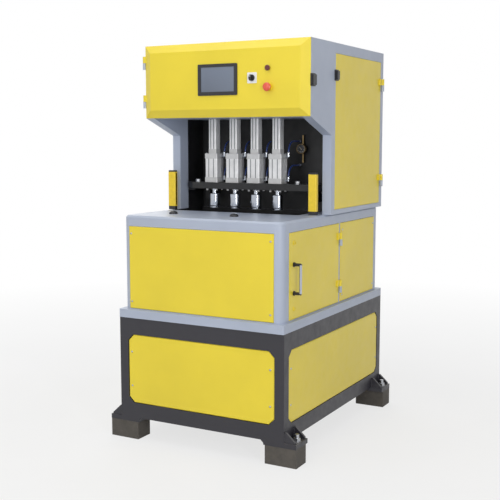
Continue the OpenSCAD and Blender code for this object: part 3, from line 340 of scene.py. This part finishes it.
# Painted shade: near-black for the inside of the housing, seen through the opening in the table
HOUSING_PAINTED_SHADE = paint("housing_painted_shade", BLACK_AND_PAINTED_SHADE, 0.6, 0.0, peel=0.002, wear=0.2, dust=0.1)
# Painted shade: strips that darken the sensor grooves of the cylinders
GROOVE_SHADE_STRIP = plastic("groove_shade_strip", GROOVE_SHADE_GREY, 0.5, grain=0.0014, bump=0.15)
PRINT_WHITE = plastic("print_white", MARK_WHITE, 0.4, grain=0.003, bump=0.03)

# CAD nodes: finish, and a small rounding in mm on the edges of sheet and castings

SHARP = math.radians(32)
ROUNDINGS = {
    "base_frame": 2.5, "rim_plate": 2.0, "clamp_housing": 1.2, "head_shell": 0.8,
    "side_frame_right": 1.5, "side_frame_left": 1.5, "upper_rear_panel": 0.8,
    "foot_blocks": 4.0, "base_panels": 1.0, "front_panel": 1.0, "rear_panel": 1.0,
    "rear_side_panels": 1.0, "side_door_right": 0.8, "side_door_left": 0.8,
    "upper_door_right": 0.8, "upper_door_left": 0.8, "head_cover": 1.5,
    "hmi_bezel": 1.0, "switch_plate": 0.6, "cover_latch": 1.0, "door_latch_right": 1.0,
    "door_latch_left": 1.0, "light_curtains": 0.8, "curtain_caps": 0.8, "cross_plate": 1.0,
    "seal_cylinder_1": 0.4, "seal_cylinder_2": 0.4, "seal_cylinder_3": 0.4,
    "seal_cylinder_4": 0.4, "stretch_cylinders": 0.5, "anchor_bolts": 0.6,
}
slots = {row["node"]: row["material_slot"] for row in frame["record"]["subparts"]}


def round_edges(piece, width):
    """A bevel of width mm on every sharp edge."""
    bevel = piece.modifiers.new("rounded", "BEVEL")
    bevel.width = width * MM
    bevel.segments = 2
    bevel.limit_method = "ANGLE"
    bevel.angle_limit = SHARP
    bevel.harden_normals = True


for name, obj in nodes.items():
    obj.data.materials.clear()
    obj.data.materials.append(MATERIALS[slots[name]])
    if name in ROUNDINGS:
        round_edges(obj, ROUNDINGS[name])

# Mesh helpers


def mm(points):
    """Pairs given in millimetres, in metres."""
    return [(a * MM, b * MM) for a, b in points]


def add_piece(name, mesh, body, slot, material=None):
    """A new piece of the object, with its finish, that rides on a CAD body."""
    piece = bpy.data.objects.new(name, mesh)
    bpy.context.scene.collection.objects.link(piece)
    mesh.materials.append(material or MATERIALS[slot])
    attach(piece, body)
    return piece


def mesh_from(bm, name, smooth=True):
    """The mesh that was built in bm, which is freed, smooth except at sharp edges."""
    mesh = bpy.data.meshes.new(name)
    bm.normal_update()
    bm.to_mesh(mesh)
    bm.free()
    for face in mesh.polygons:
        face.use_smooth = smooth
    if smooth:
        mesh.set_sharp_from_angle(angle=SHARP)
    return mesh


def circle(radius, count):
    """Corners of a regular polygon, the first of them on X."""
    angles = [2 * math.pi * k / count for k in range(count)]
    return [(radius * math.cos(a), radius * math.sin(a)) for a in angles]


def bridge(bm, rings):
    """Faces from each closed ring of vertices to the next."""
    for low, high in zip(rings, rings[1:]):
        for k in range(len(low)):
            n = (k + 1) % len(low)
            bm.faces.new((low[k], low[n], high[n], high[k]))


def closed_body(bm, rings):
    """A body through rings of vertices, with a face over each end."""
    bridge(bm, rings)
    bm.faces.new(list(reversed(rings[0])))
    bm.faces.new(rings[-1])


def lathe(bm, profile, matrix, segments=32):
    """A closed body turned from [radius, height] points, along matrix's Z."""
    closed_body(bm, [[bm.verts.new(matrix @ Vector((x, y, height))) for x, y in circle(radius, segments)]
                     for radius, height in profile])


def prism(bm, outline, matrix, length):
    """A closed body with this outline of [x, y] points, length long on matrix's Z."""
    closed_body(bm, [[bm.verts.new(matrix @ Vector((x, y, z))) for x, y in outline] for z in (0, length)])


# Pieces that only the eye needs

# Height of the cast covers at both ends of the extruded cylinders
SEAL_COVER = 26 * MM
STRETCH_COVER = 24 * MM
# From the axis of a seal cylinder back to its fittings
PORT_BACK = 14 * MM


def socket_screws(name, places, normal, radius=5.2, height=2.6):
    """Button-head screws with hexagon sockets, at points on a face with that outward normal."""
    sides = 24
    r, h = radius * MM, height * MM
    socket_r = 0.45 * r
    dome = [(r, 0), (r * 0.97, h * 0.35), (r * 0.8, h * 0.78), (socket_r * 1.25, h)]
    turn = Vector(normal).to_track_quat("Z", "Y").to_matrix().to_4x4()
    bm = bmesh.new()
    for place in places:
        matrix = Matrix.Translation(place) @ turn
        rings = [[bm.verts.new(matrix @ Vector((x, y, z))) for x, y in circle(ring_r, sides)]
                 for ring_r, z in dome]
        bridge(bm, rings)
        bm.faces.new(list(reversed(rings[0])))
        lip, deep = [[bm.verts.new(matrix @ Vector((x, y, z))) for x, y in circle(socket_r, 6)]
                     for z in (h, h * 0.35)]
        for k in range(6):
            n = (k + 1) % 6
            arc = [rings[-1][(4 * k + j) % sides] for j in range(5)]
            bm.faces.new([lip[n], lip[k]] + arc)
            bm.faces.new((lip[k], lip[n], deep[n], deep[k]))
        bm.faces.new(deep)
    add_piece(name, mesh_from(bm, name), "frame", "galvanised")


def corner_places(node, axis, side, inset, inset_z):
    """Four places on one side of a CAD node's box, set in from its upright and level edges."""
    low, high = (Vector(v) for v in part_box(node))
    along = 1 - axis
    places = []
    for a in (low[along] + inset, high[along] - inset):
        for z in (low.z + inset_z, high.z - inset_z):
            place = Vector((0, 0, z))
            place[along], place[axis] = a, low[axis] if side < 0 else high[axis]
            places.append(place)
    return places


def panel_screws():
    """Screws in the corners of the flat panels."""
    # Node, axis and side that it faces, and insets from the upright and the level edges in mm.
    # The base panels share one node, whose box reaches past each of them.
    jobs = [
        ("front_panel", 1, -1, 14, 34), ("rear_panel", 1, 1, 14, 34),
        ("base_panels", 1, -1, 69.3, 85), ("base_panels", 1, 1, 69.3, 85),
        ("base_panels", 0, -1, 69.3, 85), ("base_panels", 0, 1, 69.3, 85),
        ("rear_side_panels", 0, -1, 20, 34), ("rear_side_panels", 0, 1, 20, 34),
    ]
    for number, (node, axis, side, inset, inset_z) in enumerate(jobs):
        normal = [0, 0, 0]
        normal[axis] = side
        places = corner_places(node, axis, side, inset * MM, inset_z * MM)
        socket_screws("screws_%s_%d" % (node, number), places, normal)


def plate_bolts():
    """Hexagon bolts with washers that hold the cross plate on its pads."""
    bolt_x, bolt_inset, head_turn = (-0.322, 0.257), 34 * MM, 0.4
    washer = mm([(16, 0), (16, 2.4), (15.4, 3)])
    head = mm([(12.2, 3), (13.8, 4.4), (13.8, 14), (12.2, 15.6), (4, 16)])
    low, high = (Vector(v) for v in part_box("cross_plate"))
    bm = bmesh.new()
    for x in bolt_x:
        place = Matrix.Translation((x, low.y + bolt_inset, high.z))
        lathe(bm, washer, place)
        lathe(bm, head, place @ Matrix.Rotation(head_turn, 4, "Z"), 6)
    add_piece("plate_bolts", mesh_from(bm, "plate_bolts"), "frame", "galvanised")


def weld_bead(bm, start, end, radius=3.2 * MM, ripple=3.4 * MM):
    """A rippled fillet weld from start to end, half sunk into the corner it fills."""
    start, end = Vector(start), Vector(end)
    turn = (end - start).normalized().to_track_quat("Z", "Y").to_matrix()
    count = max(6, int((end - start).length / (ripple / 3)))
    rings = []
    for k in range(count + 1):
        centre = start.lerp(end, k / count)
        wave = abs(math.sin(math.pi * (centre - start).length / ripple))
        taper = 0.55 if k in (0, count) else 1
        swell = radius * (0.86 + 0.16 * wave) * taper
        rings.append([bm.verts.new(centre + turn @ Vector((x, y, 0))) for x, y in circle(swell, 10)])
    closed_body(bm, rings)


def foot_welds():
    """Welds between the legs of the base, the foot plates and their gussets."""
    # Faces of the two gussets, from the front or back of the base inwards
    gusset_faces = (4 * MM, 16 * MM, 104 * MM, 116 * MM)
    upright_from, upright_to = 2 * MM, 44 * MM
    low, high = (Vector(v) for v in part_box("base_frame"))
    bm = bmesh.new()
    for sx in (-1, 1):
        for sy in (-1, 1):
            x = sx * high.x
            faces = [sy * (high.y - depth) for depth in gusset_faces]
            weld_bead(bm, (x, faces[1], low.z), (x, faces[2], low.z))
            for y in faces:
                weld_bead(bm, (x, y, low.z + upright_from), (x, y, low.z + upright_to))
    add_piece("foot_welds", mesh_from(bm, "foot_welds"), "frame", "charcoal_paint")


def nozzle_seals():
    """Rubber ring in the groove near the lower end of each nozzle."""
    ring_r, wire_r, groove_z = 26.1 * MM, 1.0 * MM, 12 * MM
    ring_sides, wire_sides = 48, 10
    for k in STATIONS:
        low, high = (Vector(v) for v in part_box("nozzle_%d" % k))
        centre = Vector(((low.x + high.x) / 2, (low.y + high.y) / 2, low.z + groove_z))
        bm = bmesh.new()
        rings = []
        for x, y in circle(1, ring_sides):
            rings.append([bm.verts.new(centre + Vector((x, y, 0)) * (ring_r + out) + Vector((0, 0, up)))
                          for out, up in circle(wire_r, wire_sides)])
        for first, second in zip(rings, rings[1:] + rings[:1]):
            for j in range(wire_sides):
                n = (j + 1) % wire_sides
                bm.faces.new((first[j], second[j], second[n], first[n]))
        name = "nozzle_seal_%d" % k
        add_piece(name, mesh_from(bm, name), "nozzle_%d" % k, "black_plastic")


def cover_screws():
    """Socket screws in the corners of the upper covers of the seal cylinders."""
    aside = 29 * MM
    places = []
    for k in STATIONS:
        low, high = (Vector(v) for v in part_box("seal_cylinder_%d" % k))
        middle = (low + high) / 2
        places += [(middle.x + sx * aside, middle.y + sy * aside, high.z)
                   for sx in (-1, 1) for sy in (-1, 1)]
    socket_screws("cover_screws", places, (0, 0, 1), radius=5.0, height=4.0)


def groove_strips():
    """Cover strips in the sensor grooves of the extruded cylinders, a little below the face: real inserts,
    whose grey is painted shade that darkens the grooves.
    """
    strip = mm([(-2.3, 0), (2.3, 0), (2.3, 1.6), (1.3, 2.1), (-1.3, 2.1), (-2.3, 1.6)])
    plate_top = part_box("cross_plate")[1][2]
    stretch_low, stretch_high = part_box("stretch_cylinders")
    for kind in ("seal", "stretch"):
        bm = bmesh.new()
        for k in STATIONS:
            low, high = (Vector(v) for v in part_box("seal_cylinder_%d" % k))
            middle = (low + high) / 2
            # Ends of the strips, and from the axis to their middle and to the groove's floor
            if kind == "seal":
                bottom, top = plate_top + SEAL_COVER, high.z - SEAL_COVER
                aside, floor = 14.2 * MM, 32.65 * MM
            else:
                bottom, top = stretch_low[2] + STRETCH_COVER, stretch_high[2] - STRETCH_COVER
                aside, floor = 9.0 * MM, 19.65 * MM
            for quarter in range(4):
                turn = Matrix.Rotation(math.pi / 2 * quarter, 4, "Z")
                place = Matrix.Translation((middle.x, middle.y, bottom)) @ turn
                for sx in (-1, 1):
                    prism(bm, strip, place @ Matrix.Translation((sx * aside, floor, 0)), top - bottom)
        name = "groove_strips_" + kind
        add_piece(name, mesh_from(bm, name), "frame", "black_plastic", GROOVE_SHADE_STRIP)


def knob_mark():
    """Inlaid white pointer on the rotary switch."""
    half, tip, tail = 0.9 * MM, 11.5 * MM, 4 * MM
    proud, thick = 0.4 * MM, 0.6 * MM
    low, high = (Vector(v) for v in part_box("switch_knob"))
    outline = []
    for middle, start in ((tip, 0), (tail, math.pi)):
        angles = [start + math.pi * j / 8 for j in range(9)]
        outline += [(half * math.cos(a), middle + half * math.sin(a)) for a in angles]
    bm = bmesh.new()
    place = Matrix.Translation(((low.x + high.x) / 2, low.y + proud, (low.z + high.z) / 2))
    prism(bm, outline, place @ Matrix.Rotation(math.radians(90), 4, "X"), thick)
    add_piece("knob_mark", mesh_from(bm, "knob_mark", False), "switch_knob", "black_plastic", PRINT_WHITE)


def tube_lines():
    """Middle line of each air tube, as x and the height at which it leaves its elbow."""
    elbow_reach, elbow_h, port_inset = 14 * MM, 20 * MM, 13 * MM
    plate_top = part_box("cross_plate")[1][2]
    lines = []
    for k in STATIONS:
        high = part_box("seal_cylinder_%d" % k)[1]
        for z in (plate_top + port_inset, high[2] - port_inset):
            lines.append((high[0] + elbow_reach, z + elbow_h))
    return lines


def release_collars():
    """Release collar of each push-in fitting, where the tube leaves the elbow."""
    collar = mm([(6.9, -1), (6.9, 1.2), (5.2, 3.4), (4.3, 3.6)])
    low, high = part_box("seal_cylinder_1")
    y = (low[1] + high[1]) / 2 + PORT_BACK
    bm = bmesh.new()
    for x, z in tube_lines():
        lathe(bm, collar, Matrix.Translation((x, y, z)), 24)
    add_piece("release_collars", mesh_from(bm, "release_collars"), "frame", "black_plastic")


def gauge_face():
    """Dark dial with its light ticks and needle, behind the gauge's rim."""
    ticks, long_every, first_angle, sweep = 20, 5, -225, 270
    tick_end, needle_angle = 19.5, 130
    tick_z, needle_z, thick = 0.62 * MM, 1.0 * MM, 0.25 * MM
    rim_depth, disc = 2.6 * MM, mm([(21.6, 0), (21.6, 0.5)])
    low, high = (Vector(v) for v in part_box("pressure_gauge"))
    centre = Vector(((low.x + high.x) / 2, low.y + rim_depth, (low.z + high.z) / 2))
    face = Matrix.Translation(centre) @ Matrix.Rotation(math.radians(90), 4, "X")
    bm = bmesh.new()
    lathe(bm, disc, face, 48)
    dial = plastic("dial_dark", DIAL_BLACK, 0.35, grain=0.004, bump=0.02, coat=0.5)
    add_piece("gauge_dial", mesh_from(bm, "gauge_dial", False), "frame", "black_plastic", dial)

    # Each mark: its angle in degrees, its height over the dial's back and its corners in mm
    marks = []
    for k in range(ticks + 1):
        start, half = (14.5, 0.55) if k % long_every == 0 else (16.5, 0.3)
        corners = [(start, -half), (tick_end, -half), (tick_end, half), (start, half)]
        marks.append((first_angle + sweep * k / ticks, tick_z, corners))
    marks.append((needle_angle, needle_z, [(-5, -0.8), (16, -0.25), (16, 0.25), (-5, 0.8)]))
    bm = bmesh.new()
    for angle, z, corners in marks:
        turn = face @ Matrix.Rotation(math.radians(angle), 4, "Z")
        prism(bm, mm(corners), turn @ Matrix.Translation((0, 0, z)), thick)
    add_piece("gauge_marks", mesh_from(bm, "gauge_marks", False), "frame", "black_plastic", PRINT_WHITE)


def curtain_lenses():
    """Dark window strip in the groove of each light curtain, on the sides that face each other."""
    profile_w, sunk, reach = 44 * MM, 0.4 * MM, 2.2 * MM
    margin_y, margin_z = 6.4 * MM, 6 * MM
    low, high = (Vector(v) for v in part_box("light_curtains"))
    bm = bmesh.new()
    for face_x, inward in ((low.x + profile_w, -1), (high.x - profile_w, 1)):
        near, far = face_x + inward * sunk, face_x + inward * reach
        corner_a = Vector((min(near, far), low.y + margin_y, low.z + margin_z))
        corner_b = Vector((max(near, far), high.y - margin_y, high.z - margin_z))
        for v in bmesh.ops.create_cube(bm, size=1)["verts"]:
            v.co = Vector([a + (c + 0.5) * (b - a) for a, b, c in zip(corner_a, corner_b, v.co)])
    lens = plastic("curtain_lens", LENS_RED, 0.12, grain=0.003, bump=0.03, coat=0.8)
    piece = add_piece("curtain_lenses", mesh_from(bm, "curtain_lenses", False), "frame", "dark_red", lens)
    round_edges(piece, 0.5)


# Second finishes inside a CAD node


def repaint(node, material, rule):
    """Gives the faces of a CAD node whose centre passes the rule a second finish."""
    mesh = nodes[node].data
    mesh.materials.append(material)
    for face in mesh.polygons:
        if rule(face.center):
            face.material_index = len(mesh.materials) - 1


def near_an_end(z, low, high, cover):
    """Whether a height lies in one of the covers at the ends of a cylinder."""
    slack = 0.2 * MM
    return z > high - cover - slack or z < low + cover + slack


def inside_housing(c, table_z):
    """Whether a point is inside the housing's outer skin, whose corners are round."""
    half_x, half_y, corner = 0.432, 0.588, 0.040
    chamfer, skin, slack = 9.2 * MM, 2 * MM, 1 * MM
    over_x, over_y = abs(c.x) - (half_x - corner), abs(c.y) - (half_y - corner)
    if over_x > 0 and over_y > 0:
        depth = corner - math.hypot(over_x, over_y)
    else:
        depth = min(half_x - abs(c.x), half_y - abs(c.y))
    if c.z > table_z - slack or depth < skin:
        return False
    return c.z < table_z - chamfer or depth > 2 * chamfer


def on_gauge_or_pipe(c, low, high):
    """Whether a face belongs to the gauge's brass ring or to its pipe, and not to what is behind."""
    ring_depth, ring_half = 22 * MM, 26 * MM
    return c.y < low.y + ring_depth or abs(c.z - (low.z + high.z) / 2) > ring_half


def on_tube(c, lines, liner_y):
    """Whether a face of the fittings belongs to a tube: thinner than the elbows and the sockets."""
    tube_near, collar, bend, socket_l = 4.6 * MM, 0.5 * MM, 61 * MM, 14.5 * MM
    return c.y < liner_y - socket_l and any(
        abs(c.x - x) < tube_near and z + collar < c.z < z + bend for x, z in lines)


def second_finishes():
    """Finishes of the faces that differ from the rest of their CAD node, and the painted shade inside the
    housing.
    """
    # Black plastic ends of the bow handles
    handle_end = 24 * MM
    for side in ("right", "left"):
        low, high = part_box("door_handle_" + side)
        repaint("door_handle_" + side, MATERIALS["black_plastic"],
                lambda c: c.z < low[2] + handle_end or c.z > high[2] - handle_end)

    # Painted shade: everything of the housing that lies inside its sheet gets near-black paint, so that the
    # opening in the table reads dark
    table_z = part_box("clamp_housing")[1][2]
    repaint("clamp_housing", HOUSING_PAINTED_SHADE, lambda c: inside_housing(c, table_z))

    # Cast end covers on the extruded cylinders
    plate_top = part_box("cross_plate")[1][2]
    for k in STATIONS:
        name = "seal_cylinder_%d" % k
        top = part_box(name)[1][2]
        repaint(name, CAST_COVER, lambda c: near_an_end(c.z, plate_top, top, SEAL_COVER))
    low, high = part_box("stretch_cylinders")
    repaint("stretch_cylinders", CAST_COVER, lambda c: near_an_end(c.z, low[2], high[2], STRETCH_COVER))

    # Brass ring of the gauge, and its pipe
    low, high = (Vector(v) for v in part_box("pressure_gauge"))
    repaint("pressure_gauge", AGED_BRASS, lambda c: on_gauge_or_pipe(c, low, high))

    # Tubes between the elbows and the fittings on the liner
    liner_y = Vector(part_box("pipe_fittings")[1]).y
    lines = tube_lines()
    repaint("pipe_fittings", AIR_TUBE, lambda c: on_tube(c, lines, liner_y))


# Stage, light and camera


def floor_material():
    """Studio floor that keeps the shadow near the object and is white further out."""
    near_share, near_reach, far_reach = 0.72, 1.2, 5.0
    s = Shader("floor")
    cloud = s.ramp(s.noise(0.8, 3), 0.0, 1.0, 0.35, 0.65)
    s.colour(s.mix(cloud, FLOOR_DARK, FLOOR_LIGHT))
    s.set(Roughness=0.7, Specular_IOR_Level=0.2)
    away = s.vector_math("LENGTH", s.position())
    share = s.math("MULTIPLY", s.seen_directly(), s.ramp(away, near_share, 1.0, near_reach, far_reach))
    white = s.node("ShaderNodeEmission", Color=WHITE, Strength=1.0)
    mixed = s.node("ShaderNodeMixShader")
    # By number, because both shaders' sockets share one name
    for index, value in enumerate((share, s.bsdf.outputs[0], white.outputs[0])):
        s.feed(mixed.inputs[index], value)
    s.feed(s.tree.nodes["Material Output"].inputs["Surface"], mixed.outputs[0])
    return s.material


def stage():
    half_width = 30
    bm = bmesh.new()
    bmesh.ops.create_grid(bm, x_segments=1, y_segments=1, size=half_width)
    mesh = bpy.data.meshes.new("floor")
    bm.to_mesh(mesh)
    bm.free()
    floor = bpy.data.objects.new("floor", mesh)
    mesh.materials.append(floor_material())
    bpy.context.scene.collection.objects.link(floor)


def world_light():
    """Soft sky that is brighter from above and the left, and white where it is seen directly."""
    brightest_from, dim, bright = (-0.55, -0.25, 0.8), 0.05, 0.6
    world = bpy.data.worlds.new("studio")
    bpy.context.scene.world = world
    world.use_nodes = True
    sky = NodeTree(world.node_tree)
    direction = sky.node("ShaderNodeTexCoord").outputs["Generated"]
    toward = sky.vector_math("DOT_PRODUCT", direction, brightest_from)
    soft = sky.ramp(toward, dim, bright, -1.0, 1.0)
    background = sky.tree.nodes["Background"]
    sky.feed(background.inputs["Color"], WHITE)
    sky.feed(background.inputs["Strength"], sky.ramp(sky.seen_directly(), soft, 1.0))


def area_light(name, place, size, energy):
    """A rectangular lamp that points at the middle of the machine."""
    target = Vector((0, 0, 1.0))
    lamp = bpy.data.lights.new(name, "AREA")
    lamp.shape = "RECTANGLE"
    lamp.size, lamp.size_y = size
    lamp.energy = energy
    obj = bpy.data.objects.new(name, lamp)
    bpy.context.scene.collection.objects.link(obj)
    obj.location = place
    obj.rotation_euler = (target - Vector(place)).to_track_quat("-Z", "Y").to_euler()


def lights():
    world_light()
    area_light("key", (0.7, -5.2, 2.5), (3.6, 2.6), 60)
    area_light("top", (-0.3, -1.2, 4.6), (3.4, 3.4), 50)
    area_light("side", (4.4, -3.7, 1.9), (0.35, 2.8), 80)
    area_light("back", (-3.5, 4.5, 4.0), (4.2, 3.4), 70)


def camera():
    """The photograph's viewpoint, turned to the object's middle and zoomed until it fills the frame."""
    place = Vector((2.227, -4.162, 1.465))
    fill, sensor_width, rounds = 0.88, 36, 4
    data = bpy.data.cameras.new("camera")
    obj = bpy.data.objects.new("camera", data)
    bpy.context.scene.collection.objects.link(obj)
    low, high = Vector(cad_low), Vector(cad_high)
    corners = [Vector((x, y, z)) for x in (low.x, high.x) for y in (low.y, high.y) for z in (low.z, high.z)]
    aim = (low + high) / 2
    for _ in range(rounds):
        turn = (aim - place).to_track_quat("-Z", "Y")
        seen = [turn.inverted() @ (c - place) for c in corners]
        flat = [(p.x / -p.z, p.y / -p.z) for p in seen]
        middle = [(min(v) + max(v)) / 2 for v in zip(*flat)]
        reach = (aim - place).length
        aim = aim + turn @ Vector((middle[0] * reach, middle[1] * reach, 0))
    half = max((max(v) - min(v)) / 2 for v in zip(*flat))
    data.sensor_width = sensor_width
    data.lens = fill * sensor_width / 2 / half
    data.clip_end = 100
    obj.location = place
    obj.rotation_euler = turn.to_euler()
    bpy.context.scene.camera = obj


stage()
lights()
camera()
panel_screws()
gauge_face()
plate_bolts()
foot_welds()
nozzle_seals()
cover_screws()
release_collars()
groove_strips()
knob_mark()
curtain_lenses()
second_finishes()
bpy.context.scene.view_settings.view_transform = "Standard"
